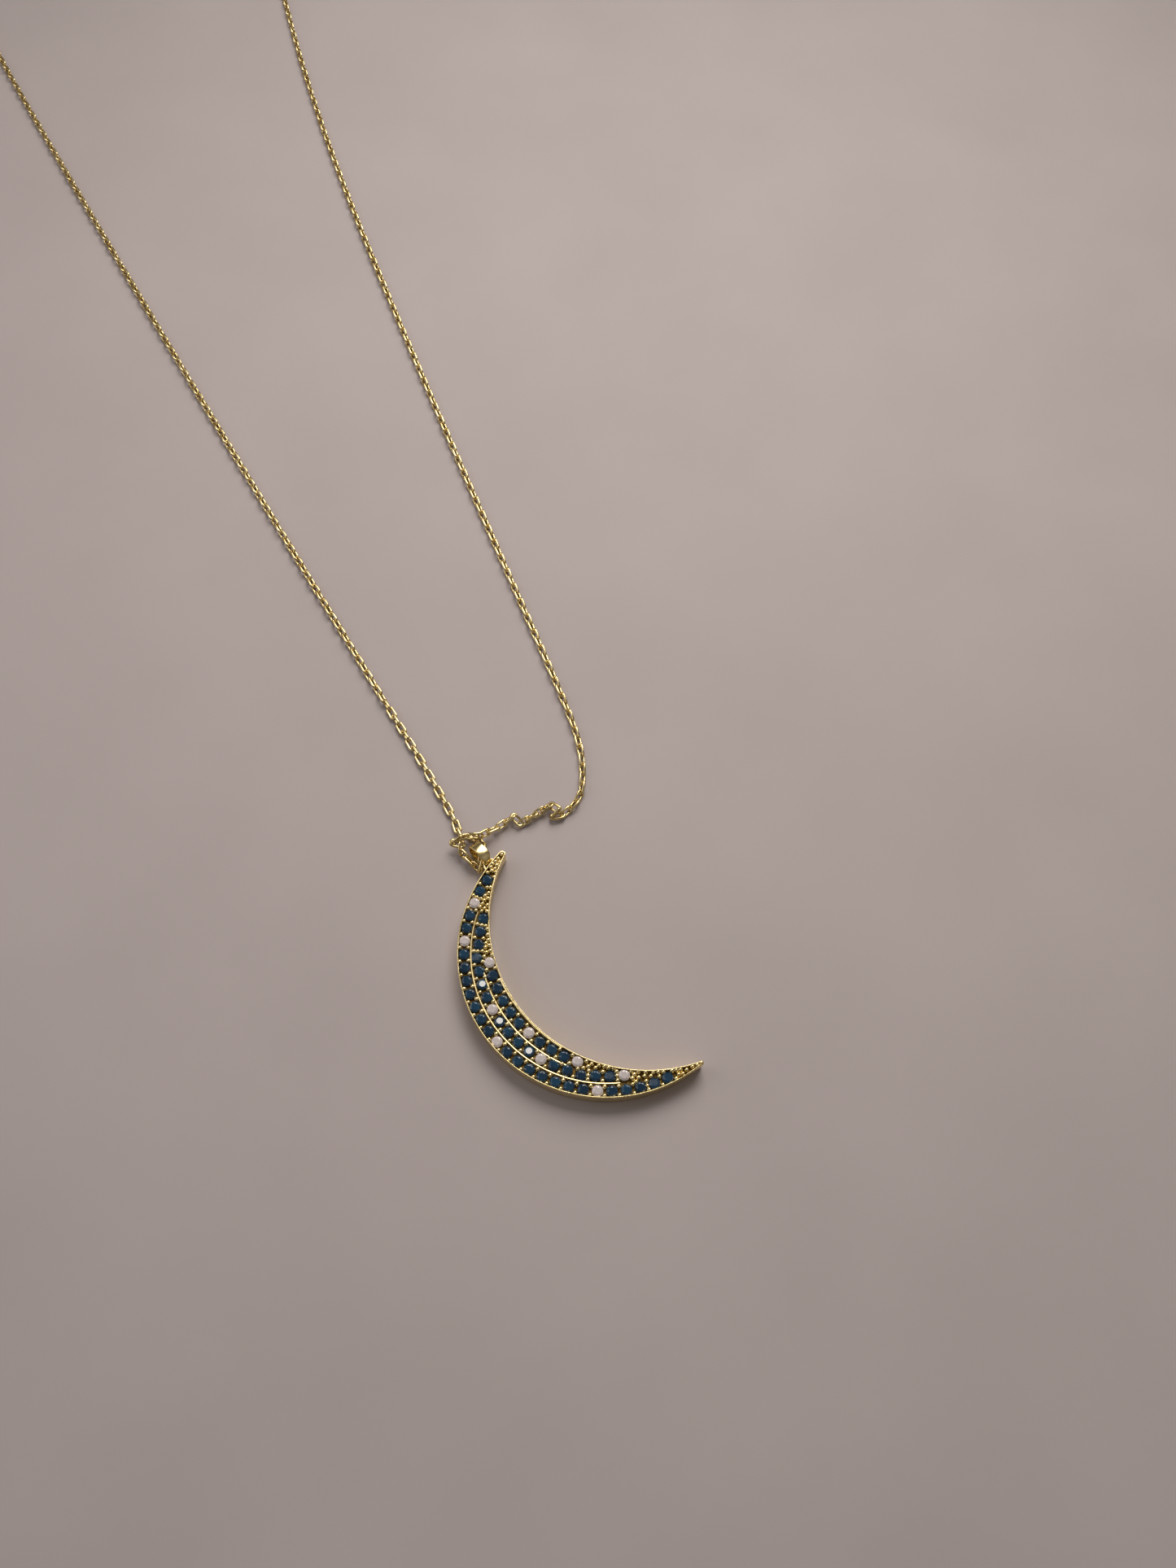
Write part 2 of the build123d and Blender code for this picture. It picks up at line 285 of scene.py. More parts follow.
# %% Joints between the links
def mark_off(points, step, count):
    """The first joints along a line of points, each one straight step from the last."""
    joints = [points[0].copy()]
    index = 0
    while len(joints) <= count and index < len(points) - 1:
        a, b = points[index], points[index + 1]
        if (b - joints[-1]).length < step:
            index += 1
            continue
        low, high = 0.0, 1.0
        if (a - joints[-1]).length < step:
            for _ in range(30):
                middle = (low + high) / 2
                if (a.lerp(b, middle) - joints[-1]).length < step:
                    low = middle
                else:
                    high = middle
        joints.append(a.lerp(b, high))
    return joints


def share_out(points, pitch):
    """Joints from the first point to the last, a little closer than the pitch where needed."""
    full = mark_off(points, pitch, len(points))
    count = len(full) - 1 + ((points[-1] - full[-1]).length > 0.02 * pitch)
    low, high = 0.5 * pitch, pitch
    for _ in range(30):
        step = (low + high) / 2
        joints = mark_off(points, step, count - 1)
        if len(joints) < count or (points[-1] - joints[-1]).length < step:
            high = step
        else:
            low = step
    return mark_off(points, low, count - 1)[:count] + [points[-1]]


stretches, first = [], 0
for x, y, z, _ in pinned:
    pin = Vector((x, y, z))
    last = min(range(first + 1, len(way)), key=lambda index: (way[index] - pin).length)
    stretches.append(way[first:last + 1])
    first = last
stretches.append(way[first:])
joint_rows = [share_out(points, link_pitch) for points in stretches]
print("links", sum(len(row) - 1 for row in joint_rows), "on",
      [len(row) - 1 for row in joint_rows])

# %% The chain
random.seed(7)
usual_tip, tip_swing = 45.0, 8
open_links, flat_tip, edge_tip = 16, (4, 14), 78
table_gap = 0.01 * MM
tips = [None, *(row[3] for row in pinned)]
half_width = (link_width - wire) / 2
links = []
for row_index, (row, tip) in enumerate(zip(joint_rows, tips)):
    for index, (a, b) in enumerate(zip(row, row[1:])):
        lean = (usual_tip + random.uniform(-tip_swing, tip_swing)) * (-1)**index
        if tip is not None and len(row) == 2:
            lean = tip
        # The first and the last link lie flat in the clasp's upright rings
        if (row_index, index) in ((0, 0), (len(joint_rows) - 1, len(row) - 2)):
            lean = 0
        # The left side comes straight down to the knot, with its links flat and on edge
        if row_index == 0 and len(row) - 2 - index < open_links:
            lean = random.uniform(*flat_tip) if (len(row) - 2 - index) % 2 == 0 else edge_tip
        forward = (b - a).normalized()
        side = Vector((0, 0, 1)).cross(forward).normalized()
        lift = forward.cross(side)
        turn = Matrix((forward, side, lift)).transposed().to_4x4()
        centre = (a + b) / 2
        needed = wire / 2 + half_width * abs(math.sin(math.radians(lean)))
        centre.z = max(centre.z, needed + table_gap)
        matrix = Matrix.Translation(centre) @ turn @ Matrix.Rotation(math.radians(lean), 4, "X")
        links.append(copy_at(link, matrix, "link"))
chain = join("cable_chain", links)
bpy.data.objects.remove(link)
lowest = min(vertex.co.z for vertex in chain.data.vertices)
smooth(chain, 70)
print("chain", triangles(chain), "triangles, lowest", round(lowest / MM, 3), "mm")

# %% [markdown]
# ## The crescent's outline
#
# The outer edge is a circle that opens out on the upper horn. The inner edge is a circle
# too, whose middle lies towards the open side. Both are written as a distance from the
# crescent's middle at an angle from the belly, so that rims, walls and grains can follow
# them. The outline is drawn as a flat curve and becomes a ring of edges.

# %% Crescent sizes
middle = Vector((-1.0, -101.0)) * MM
belly = math.radians(197.0)
outer_radius = 14.92 * MM
thickness = 2.0 * MM
rim_width = 0.13 * MM
rim_height = 0.45 * MM
row_pitch = 1.43 * MM
inner_row_pitch = 1.40 * MM
inner_row_shift = 2.0 * MM
nudge = 0.15 * MM
inner_margin = 0.40 * MM
opening_shift = 5.40 * MM
upper_tip, lower_tip = -85.5, 87.2
flare_angle = 60.0
flare_growth = 2.9 * MM
stone_radius = 0.56 * MM
seat_radius = stone_radius + 0.02 * MM
deck_height = thickness - rim_height
outer_row = 14.23 * MM
middle_row = outer_row - row_pitch
inner_row = middle_row - inner_row_pitch
inner_edge_radius = inner_row - seat_radius - inner_margin + opening_shift


# %% Edges of the crescent
def place(radius, angle, shift=0.0):
    """A point at a radius and an angle in degrees from the belly, about a shifted middle."""
    spoke = belly + math.radians(angle)
    return Vector((middle.x - shift * math.cos(belly) + radius * math.cos(spoke),
                   middle.y - shift * math.sin(belly) + radius * math.sin(spoke)))


def inner_edge(angle):
    along = opening_shift * math.cos(math.radians(angle))
    return math.sqrt(along**2 + inner_edge_radius**2 - opening_shift**2) - along


def outer_edge(angle):
    if angle > -flare_angle:
        return outer_radius
    along = flare_growth * math.cos(math.radians(-flare_angle - angle))
    return math.sqrt(along**2 + (outer_radius + flare_growth)**2 - flare_growth**2) - along


def outline(inset, steps=110, tip_steps=8):
    """Points round the crescent, a distance inside its edge, with round horn tips."""
    points = []
    angles = [lower_tip + (upper_tip - lower_tip) * step / steps for step in range(steps + 1)]
    points += [place(outer_edge(angle) - inset, angle) for angle in angles]
    for end, edges in ((upper_tip, (outer_edge, inner_edge)),
                       (lower_tip, (inner_edge, outer_edge))):
        first, last = [place(edge(end) + (inset if edge is inner_edge else -inset), end)
                       for edge in edges]
        pivot, arm = (first + last) / 2, (first - last) / 2
        for step in range(1, tip_steps):
            turn = math.pi * step / tip_steps
            points.append(pivot + Matrix.Rotation(-turn, 2) @ arm)
        if end < 0:
            points += [place(inner_edge(angle) + inset, angle) for angle in reversed(angles)]
    return points


print("outline", len(outline(0)), "points")

# %% [markdown]
# ## The crescent's body
#
# The casting is a flat plate with a fine raised rim. By hand: fill the outline, extrude it
# up to the full thickness, inset the top face by the rim's width, and push the inner face
# down to the deck. A bevel then takes the sharpness off, as casting and polishing do. The
# seats for the stones are cut with a pointed drill, copied to each stone's place.

# %% Body with its rim
curve = bpy.data.curves.new("outline", "CURVE")
ring = curve.splines.new("POLY")
edge_points = outline(0)
ring.points.add(len(edge_points) - 1)
for point, spot in zip(ring.points, edge_points):
    point.co = (*spot, 0, 1)
ring.use_cyclic_u = True
body = bpy.data.objects.new("crescent_body", curve)
bpy.context.scene.collection.objects.link(body)
only(body)
bpy.ops.object.convert(target="MESH")
body = bpy.context.object
edit(body, "VERT")
bpy.ops.mesh.select_all(action="SELECT")
bpy.ops.mesh.remove_doubles(threshold=0.002 * MM)
bpy.ops.mesh.edge_face_add()
bpy.ops.mesh.extrude_region_move(TRANSFORM_OT_translate={"value": (0, 0, thickness)})
bpy.ops.mesh.select_all(action="SELECT")
bpy.ops.mesh.normals_make_consistent(inside=False)
bpy.ops.mesh.select_mode(type="FACE")
choose(body, lambda face: face.normal.z > 0.9 and face.calc_center_median().z > deck_height,
       "FACE")
bpy.ops.mesh.inset(thickness=rim_width, depth=0)
bpy.ops.mesh.extrude_region_move(TRANSFORM_OT_translate={"value": (0, 0, -rim_height)})
done()
modify(body, "BEVEL", width=0.05 * MM, segments=3, limit_method="ANGLE",
       angle_limit=math.radians(50), harden_normals=False)
print("body", len(body.data.polygons), "faces")

# %% [markdown]
# ## Where the stones stand
#
# The chart of the stones is read row by row, from the upper horn to the lower one: b is a
# blue stone and c a clear one. A few stones stand a little further out, to make room for
# the row inside.

# %% The chart of the stones
rows = [
    dict(radius=outer_row, shift=0.0, reach=73.02, chart="bbcbbcbbbbbbbcbbbbbbbcbbbbb",
         nudged=()),
    dict(radius=middle_row, shift=0.0, reach=56.20, chart="bbbbbbbcbbbbcbbbbbc",
         nudged=(3, 15)),
    dict(radius=inner_row + inner_row_shift, shift=inner_row_shift, reach=29.82,
         chart="cbbbbbcbbbc", nudged=()),
]
stones = []
for row_index, row in enumerate(rows):
    step = 2 * row["reach"] / (len(row["chart"]) - 1)
    for index, kind in enumerate(row["chart"]):
        angle = (index - (len(row["chart"]) - 1) / 2) * step
        radius = row["radius"] + (nudge if index in row["nudged"] else 0.0)
        stones.append(dict(spot=place(radius, angle, row["shift"]), kind=kind,
                           row=row_index, index=index))
print("stones", len(stones), "of them clear", sum(stone["kind"] == "c" for stone in stones))

# %% Seats for the stones
girdle_top = thickness - 0.17 * MM
girdle_base = girdle_top - 0.06 * MM
pavilion_depth = 0.46 * MM
seat_floor = girdle_base - 0.02 * MM
drill_height = 0.5 * MM
bpy.ops.object.select_all(action="DESELECT")
bpy.ops.mesh.primitive_cylinder_add(vertices=20, radius=seat_radius, depth=drill_height,
                                    location=(0, 0, seat_floor + drill_height / 2))
drill = bpy.context.object
settle(drill)
edit(drill, "FACE")
choose(drill, lambda face: face.normal.z < -0.9, "FACE")
bpy.ops.mesh.extrude_region_move(TRANSFORM_OT_translate={"value": (0, 0, -pavilion_depth)})
bpy.ops.transform.resize(value=(0.1, 0.1, 1))
done()
drills = [copy_at(drill, Matrix.Translation((*stone["spot"], 0)), "drill") for stone in stones]
bpy.data.objects.remove(drill)
drills = join("drills", drills)
modify(body, "BOOLEAN", object=drills, operation="DIFFERENCE", solver="EXACT")
bpy.data.objects.remove(drills)
print("body with seats", len(body.data.polygons), "faces")

# %% [markdown]
# ## Walls and grains
#
# Two thin walls stand between the rows, bright lines from above. A short wider rail fills
# the inner edge beside the inner row, and stops before the row's end stones. They are arcs,
# so one small section is spun about the arc's middle. The grains are small beads, raised
# with a graver and rounded with a cup tool: two in each gap between stones, and a close
# cover of them on the horns, where stones are too wide to go.


# %% Walls between the rows
def spun_wall(name, radius, first, last, width, top, shift=0.0):
    """A low round-topped wall: its section is spun from one angle to another."""
    start = place(radius, first, shift)
    axis = place(0, 0, shift)
    bpy.ops.object.select_all(action="DESELECT")
    bpy.ops.mesh.primitive_circle_add(vertices=8, radius=width / 2, fill_type="NGON",
                                      rotation=(math.pi / 2, 0, belly + math.radians(first)),
                                      location=(*start, top - width / 2))
    wall = bpy.context.object
    settle(wall)
    edit(wall)
    bpy.ops.mesh.select_all(action="SELECT")
    bpy.ops.mesh.spin(steps=72, angle=math.radians(last - first), center=(*axis, 0),
                      axis=(0, 0, -1))
    bpy.ops.mesh.select_all(action="SELECT")
    bpy.ops.mesh.normals_make_consistent(inside=False)
    done()
    wall.name = name
    return wall


wall_width = 0.18 * MM
wall_top = thickness - 0.08 * MM
wall_radius, wall_end, wall_lower_end = outer_row - row_pitch / 2, 58.5, 54
inner_wall_radius, inner_wall_end = 14.14 * MM, 26
rail_width, rail_end = 0.30 * MM, 17
outer_wall = spun_wall("outer_wall", wall_radius, -wall_end, wall_lower_end, wall_width,
                       wall_top)
inner_wall = spun_wall("inner_wall", inner_wall_radius, -inner_wall_end, inner_wall_end,
                       wall_width, wall_top, inner_row_shift)
inner_rail = spun_wall("inner_rail", inner_edge_radius + rail_width / 2, -rail_end, rail_end,
                       rail_width, thickness, opening_shift)
print("walls", [triangles(wall) for wall in (outer_wall, inner_wall, inner_rail)], "triangles")

# %% The chart of the horns' grains
# Angle in degrees from the belly, and distance in millimetres from the crescent's middle
horn_chart = [
    (-86.8, 15.05), (-85.5, 14.85), (-83.2, 14.80), (-81.0, 14.95), (-79.0, 15.00),
    (-80.7, 14.40), (-79.0, 14.30), (-76.4, 14.55), (-76.2, 14.05), (-73.0, 13.65),
    (-71.0, 13.50), (-68.3, 13.35), (-66.0, 13.15), (-63.0, 12.90), (-60.0, 12.68),
    (-70.5, 14.05), (-64.5, 13.85), (-62.7, 13.42), (-60.0, 13.25),
    (41.5, 11.68), (45.0, 11.75), (49.0, 11.88), (51.8, 12.05), (53.5, 12.20),
    (59.0, 13.15), (62.0, 13.28), (64.5, 13.50), (70.0, 13.60),
    (59.5, 12.55), (62.5, 12.75), (65.5, 12.95), (68.5, 13.12), (70.7, 13.28), (72.5, 13.45),
    (76.0, 14.65), (76.0, 13.92), (79.0, 14.58), (79.0, 14.12), (81.0, 14.45),
    (83.6, 14.50), (85.5, 14.66), (87.2, 14.76),
]
edge_grain_inset = 0.26
edge_grains = [(angle, inner_edge(angle) / MM + edge_grain_inset) for angle in
               [-57, -54.3, -51.6, -48.9, -46.2, -43.5, -40.8, 38.8, 56.3]]


# %% Where the grains stand
def clear(spot, others, distance):
    return all((spot - other).length >= distance for other in others)


grain_radius = 0.255 * MM
grain_reach = 0.43 * MM
grain_margin = 0.14 * MM
wall_room = 0.24 * MM
# Least distances in mm of a grain's middle: from a stone's middle and from another grain's
row_spacing, horn_spacing, fill_spacing = (0.72, 0.34), (0.68, 0.34), (0.67, 0.39)
fill_start, fill_step, fill_count = 0.20 * MM, 0.12 * MM, 12
stone_spots = [stone["spot"] for stone in stones]
grain_spots = []


def add_grain(radius, angle, shift, from_stones, apart):
    """Notes a grain's place, unless it is too close to an edge, a stone or another grain."""
    spot = place(radius, angle, shift)
    spoke = spot - middle
    turn = math.degrees(math.atan2(spoke.y, spoke.x) - belly)
    turn = (turn + 180) % 360 - 180
    inside = inner_edge(turn) + grain_margin < spoke.length < outer_edge(turn) - grain_margin
    on_wall = abs(turn) < wall_end + 1 and abs(spoke.length - wall_radius) < wall_room
    if (inside and not on_wall and upper_tip - 1 < turn < lower_tip + 0.5
            and clear(spot, stone_spots, from_stones * MM)
            and clear(spot, grain_spots, apart * MM)):
        grain_spots.append(spot)


for row in rows:
    step = 2 * row["reach"] / (len(row["chart"]) - 1)
    for index in range(len(row["chart"]) + 1):
        for side in (-grain_reach, grain_reach):
            add_grain(row["radius"] + side, (index - len(row["chart"]) / 2) * step, row["shift"],
                      *row_spacing)
for angle, radius in horn_chart + edge_grains:
    add_grain(radius * MM, angle, 0.0, *horn_spacing)
# What is left of the horns is filled grain by grain, from the tips to the belly
for half_degree in range(174, 60, -1):
    for side in (-1, 1):
        angle = side * half_degree / 2
        for index in range(fill_count):
            radius = inner_edge(angle) + fill_start + index * fill_step
            add_grain(radius, angle, 0.0, *fill_spacing)

bpy.ops.object.select_all(action="DESELECT")
bpy.ops.mesh.primitive_uv_sphere_add(segments=12, ring_count=8, radius=1)
grain = bpy.context.object
grain_top = thickness + 0.035 * MM
grains = []
for spot in grain_spots:
    size = grain_radius * random.uniform(0.9, 1.08)
    centre = Vector((*spot, grain_top - size * random.uniform(1.0, 1.25)))
    matrix = Matrix.Translation(centre) @ Matrix.Diagonal((size, size, size, 1))
    grains.append(copy_at(grain, matrix, "grain"))
bpy.data.objects.remove(grain)
print("grains", len(grains))

# %% The half ring on the upper horn
loop_angle = -79.7
loop_wire = 0.28 * MM
loop_inner_radius = 0.53 * MM
bail_height = 2.40 * MM
loop_middle = place(outer_edge(loop_angle), loop_angle)
bpy.ops.object.select_all(action="DESELECT")
bpy.ops.mesh.primitive_torus_add(major_segments=32, minor_segments=12,
                                 major_radius=loop_inner_radius + loop_wire / 2,
                                 minor_radius=loop_wire / 2,
                                 location=(*loop_middle, bail_height / 2))
half_ring = bpy.context.object
settle(half_ring)
crescent = join("crescent_setting", [body, outer_wall, inner_wall, inner_rail, half_ring,
                                   *grains])
smooth(crescent, 38)
print("crescent", triangles(crescent), "triangles")

# %% [markdown]
# ## A brilliant-cut stone
#
# A round stone of this size has a table, a crown of kite and triangle facets, a thin
# girdle and a pointed pavilion. All its corners lie on a few rings, and the stone is the
# skin stretched over them. So the rings are added as circles and closed by a convex hull.
# The height of each ring follows from the kites being flat. Stones set by hand never stand
# quite level, so a few tables throw the light of a small lamp towards the eye.

# %% One stone
table_radius = 0.60 * stone_radius
crown_height = thickness - girdle_top
crown_ring = 0.80 * stone_radius
pavilion_ring = 0.42 * stone_radius
half_step = math.pi / 8


def kite_height(ring, top_radius, height):
    """Height of a ring of corners that lie on the flat kites between two other rings."""
    return height * (stone_radius - ring * math.cos(half_step)) / (stone_radius - top_radius)


bpy.ops.object.select_all(action="DESELECT")
bpy.ops.mesh.primitive_circle_add(vertices=8, radius=table_radius, location=(0, 0, thickness))
stone_pattern = bpy.context.object
settle(stone_pattern)
edit(stone_pattern)
crown_ring_height = girdle_top + kite_height(crown_ring, table_radius, crown_height)
pavilion_ring_height = girdle_base - kite_height(pavilion_ring, 0, pavilion_depth)
for vertices, radius, height, turn in (
        (8, crown_ring, crown_ring_height, half_step), (16, stone_radius, girdle_top, 0),
        (16, stone_radius, girdle_base, 0), (8, pavilion_ring, pavilion_ring_height, half_step),
        (8, 0.02 * stone_radius, girdle_base - pavilion_depth, 0)):
    bpy.ops.mesh.primitive_circle_add(vertices=vertices, radius=radius, location=(0, 0, height),
                                      rotation=(0, 0, turn))
bpy.ops.mesh.select_all(action="SELECT")
bpy.ops.mesh.convex_hull()
bpy.ops.mesh.select_all(action="SELECT")
bpy.ops.mesh.normals_make_consistent(inside=False)
done()
print("stone", triangles(stone_pattern), "triangles")

# %% The stones in their seats
# Stones whose tables catch the light: row and place, and how far they turn to mirror the lamp
caught = {(1, 3): 0.72, (1, 5): 1.0, (1, 8): 1.0, (1, 11): 1.0, (0, 25): 0.8, (0, 26): 0.7,
          (1, 17): 0.8, (0, 3): 0.5, (0, 8): 0.4, (1, 13): 0.5, (2, 1): 0.5}
eye = camera_foot + Vector((0, 0, camera_height))
blue, clears = [], []
for stone in stones:
    x, y = stone["spot"]
    turn = random.uniform(0, math.pi)
    lean, lean_to = random.uniform(0.0, 0.04), random.uniform(0, 2 * math.pi)
    share = caught.get((stone["row"], stone["index"]))
    if share:
        here = Vector((x, y, thickness))
        halfway = (eye - here).normalized() + (small_lamp_place - here).normalized()
        lean, lean_to = share * halfway.angle((0, 0, 1)), math.atan2(halfway.y, halfway.x)
    axis = Vector((-math.sin(lean_to), math.cos(lean_to), 0))
    pivot = Matrix.Translation((0, 0, girdle_top))
    matrix = (Matrix.Translation((x, y, 0)) @ pivot @ Matrix.Rotation(lean, 4, axis)
              @ pivot.inverted() @ Matrix.Rotation(turn, 4, "Z"))
    (blue if stone["kind"] == "b" else clears).append(copy_at(stone_pattern, matrix, "stone"))
bpy.data.objects.remove(stone_pattern)
blue_stones = join("blue_round_stones", blue)
clear_stones = join("clear_round_stones", clears)
print("blue", triangles(blue_stones), "clear", triangles(clear_stones))

# %% [markdown]
# ## The bail
#
# The bail is a band of sheet metal bent into an oval, wide where it carries the chain and
# narrow at its foot. It starts as a ring of edges, is drawn out sideways to a band and gets
# its thickness inwards. Then its rows of vertices are narrowed one by one towards the foot.

# %% Bail
bail_direction = math.radians(107.0)
bail_lean = math.radians(7.0)
bail_length, bail_wall = 2.90 * MM, 0.26 * MM
bail_width, bail_foot_width = 1.12 * MM, 0.52 * MM
bail_taper_share = 0.28
bail_gap = 0.12 * MM
along = Vector((math.cos(bail_direction), math.sin(bail_direction)))
bail_middle = loop_middle + along * (bail_gap + bail_length / 2)
# Leaning, the band needs a little less height to stay as tall as it is upright
band_height = (bail_height - bail_width * math.sin(bail_lean)) / math.cos(bail_lean)

bpy.ops.object.select_all(action="DESELECT")
bpy.ops.mesh.primitive_circle_add(vertices=72, radius=1, rotation=(math.pi / 2, 0, 0))
bail = bpy.context.object
bail.name = "bail_band"
settle(bail)
edit(bail, "EDGE")
bpy.ops.mesh.select_all(action="SELECT")
bpy.ops.transform.resize(value=(bail_length / 2, 1, band_height / 2))
bpy.ops.mesh.extrude_region_move(TRANSFORM_OT_translate={"value": (0, bail_width, 0)})
bpy.ops.mesh.select_all(action="SELECT")
bpy.ops.transform.translate(value=(0, -bail_width / 2, 0))
bpy.ops.mesh.normals_make_consistent(inside=False)
done()
modify(bail, "SOLIDIFY", thickness=bail_wall, offset=-1, use_even_offset=True)
edit(bail)
full_width_at = bail_length * bail_taper_share - bail_length / 2
foot_at = -bail_length / 2 + bail_wall
same_column = 0.0002
columns = sorted({round(vertex.co.x / MM, 4)
                  for vertex in bmesh.from_edit_mesh(bail.data).verts})
for column in columns:
    share = min(max((full_width_at / MM - column) / ((full_width_at - foot_at) / MM), 0), 1)
    share = share**2 * (3 - 2 * share)
    choose(bail, lambda vertex: abs(vertex.co.x / MM - column) < same_column)
    bpy.ops.transform.resize(value=(1, 1 - share * (1 - bail_foot_width / bail_width), 1),
                             center_override=(0, 0, 0))
done()
modify(bail, "BEVEL", width=0.07 * MM, segments=3, limit_method="ANGLE",
       angle_limit=math.radians(40))
bail.location = (*bail_middle, bail_height / 2)
bail.rotation_euler = (bail_lean, 0, bail_direction)
settle(bail)
smooth(bail, 40)
low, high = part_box("bail")
print("bail", [round(value / MM, 2) for value in bail.dimensions],
      "solid", [round((b - a) / MM, 2) for a, b in zip(low, high)])

# %% [markdown]
# ## The clasp
#
# The clasp lies outside the picture. It is a plain lobster clasp, closed, as such a chain
# has: a pear-shaped loop of round wire, a solid heel and an eye. A small upright ring joins
# each end of the chain to it, wide enough for both wires. The pear is the outline round two
# circles.

# %% Clasp
clasp_place = Vector((1.5, 113.93, 0.75)) * MM
clasp_body_radius, clasp_nose_radius, clasp_reach = 2.0 * MM, 1.35 * MM, 3.6 * MM
clasp_wire = 0.70 * MM
eye_radius, eye_wire = 0.74 * MM, 0.21 * MM
ring_radius, ring_wire = 0.63 * MM, 0.10 * MM
eye_place = clasp_place + Vector((-2.73 * MM, 0, 0))
eye_ring_place = eye_place + Vector((-0.87 * MM, 0, 0))
nose_ring_place = clasp_place + Vector((4.77 * MM, 0, 0))
slant = math.acos((clasp_body_radius - clasp_nose_radius) / clasp_reach)
pear = []
for step in range(25):
    turn = slant + (2 * math.pi - 2 * slant) * step / 24
    pear.append(Vector((math.cos(turn), math.sin(turn), 0)) * (clasp_body_radius - clasp_wire / 2))
for step in range(17):
    turn = -slant + 2 * slant * step / 16
    pear.append(Vector((math.cos(turn), math.sin(turn), 0)) * (clasp_nose_radius - clasp_wire / 2)
                + Vector((clasp_reach, 0, 0)))
curve = bpy.data.curves.new("pear", "CURVE")
curve.dimensions = "3D"
curve.bevel_depth = clasp_wire / 2
curve.bevel_resolution = 4
ring = curve.splines.new("POLY")
ring.points.add(len(pear) - 1)
for point, spot in zip(ring.points, pear):
    point.co = (*(spot + clasp_place), 1)
ring.use_cyclic_u = True
pear_loop = bpy.data.objects.new("pear_loop", curve)
bpy.context.scene.collection.objects.link(pear_loop)
only(pear_loop)
bpy.ops.object.convert(target="MESH")
pear_loop = bpy.context.object

clasp_pieces = [pear_loop]
upright = (math.pi / 2, 0, 0)
for radius, thick, spot, turn in ((eye_radius, eye_wire, eye_place, (0, 0, 0)),
                                  (ring_radius, ring_wire, eye_ring_place, upright),
                                  (ring_radius, ring_wire, nose_ring_place, upright)):
    bpy.ops.object.select_all(action="DESELECT")
    bpy.ops.mesh.primitive_torus_add(major_segments=28, minor_segments=10, major_radius=radius,
                                     minor_radius=thick, location=spot, rotation=turn)
    clasp_pieces.append(bpy.context.object)
    settle(clasp_pieces[-1])
bpy.ops.object.select_all(action="DESELECT")
bpy.ops.mesh.primitive_cube_add(size=1, location=clasp_place + Vector((-1.75 * MM, 0, 0)),
                                scale=(0.9 * MM, 1.5 * MM, 0.9 * MM))
heel = bpy.context.object
settle(heel)
modify(heel, "BEVEL", width=0.3 * MM, segments=4)
clasp = join("lobster_clasp", [*clasp_pieces, heel])
smooth(clasp, 50)
print("clasp", triangles(clasp), "triangles")

# %% [markdown]
# ## Materials
#
# Colours are picked as a painter would name them, in sRGB hex, and one function turns them
# to the linear values that Blender works in. One more function adds a node.


# %% Helpers for materials
def hex_colour(text):
    """Linear red, green, blue and alpha from an sRGB hex colour."""
    values = [int(text[index:index + 2], 16) / 255 for index in (1, 3, 5)]
    return tuple(v / 12.92 if v <= 0.04045 else ((v + 0.055) / 1.055)**2.4 for v in values) + (1,)


def add_node(tree, kind, inputs=None, **settings):
    """A node with its settings. An input takes a number, a colour or another node's output."""
    node = tree.nodes.new(kind)
    for name, value in settings.items():
        setattr(node, name, value)
    for name, value in (inputs or {}).items():
        if isinstance(value, bpy.types.NodeSocket):
            tree.links.new(value, node.inputs[name])
        else:
            node.inputs[name].default_value = value
    return node


def new_material(name):
    """An empty material: its node tree and its output node."""
    material = bpy.data.materials.new(name)
    material.use_nodes = True
    material.node_tree.nodes.clear()
    return material, material.node_tree


def per_mm(spacing):
    """Noise scale, in waves per metre, for a pattern that repeats every so many mm."""
    return 1 / (spacing * MM)


print("pale gold", [round(value, 3) for value in hex_colour("#F6E3AC")])


# %% [markdown]
# ### Gold plate
#
# All the gold is a thin pale yellow plate over a base metal. The drawn wire is smooth. The
# casting is a little rougher, its plate uneven at the scale of a grain. The deck between
# the stones gets painted shade: a darker, rougher gold that stands in for the shadow there.
# Metal keeps its default IOR.

# %% Gold
def gold(name, light, deep, roughness, ripple, spacing):
    """Plated gold: two close shades in soft patches, fine ripples and uneven polish."""
    material, tree = new_material(name)
    place_node = add_node(tree, "ShaderNodeTexCoord")
    patches = add_node(tree, "ShaderNodeTexNoise", {
        "Vector": place_node.outputs["Object"], "Scale": per_mm(spacing * 4), "Detail": 3.0})
    shade = add_node(tree, "ShaderNodeValToRGB", {"Fac": patches.outputs["Fac"]})
    shade.color_ramp.elements[0].position = 0.35
    shade.color_ramp.elements[0].color = hex_colour(deep)
    shade.color_ramp.elements[1].position = 0.65
    shade.color_ramp.elements[1].color = hex_colour(light)
    polish = add_node(tree, "ShaderNodeMapRange", {
        "Value": patches.outputs["Fac"], "From Min": 0.3, "From Max": 0.7,
        "To Min": roughness * 0.8, "To Max": roughness * 1.25})
    ripples = add_node(tree, "ShaderNodeTexNoise", {
        "Vector": place_node.outputs["Object"], "Scale": per_mm(spacing), "Detail": 2.0})
    bump = add_node(tree, "ShaderNodeBump", {
        "Height": ripples.outputs["Fac"], "Strength": ripple, "Distance": 0.02 * MM})
    shader = add_node(tree, "ShaderNodeBsdfPrincipled", {
        "Base Color": shade.outputs["Color"], "Metallic": 1.0,
        "Roughness": polish.outputs["Result"], "Normal": bump.outputs["Normal"]})
    add_node(tree, "ShaderNodeOutputMaterial", {"Surface": shader.outputs["BSDF"]})
    return material


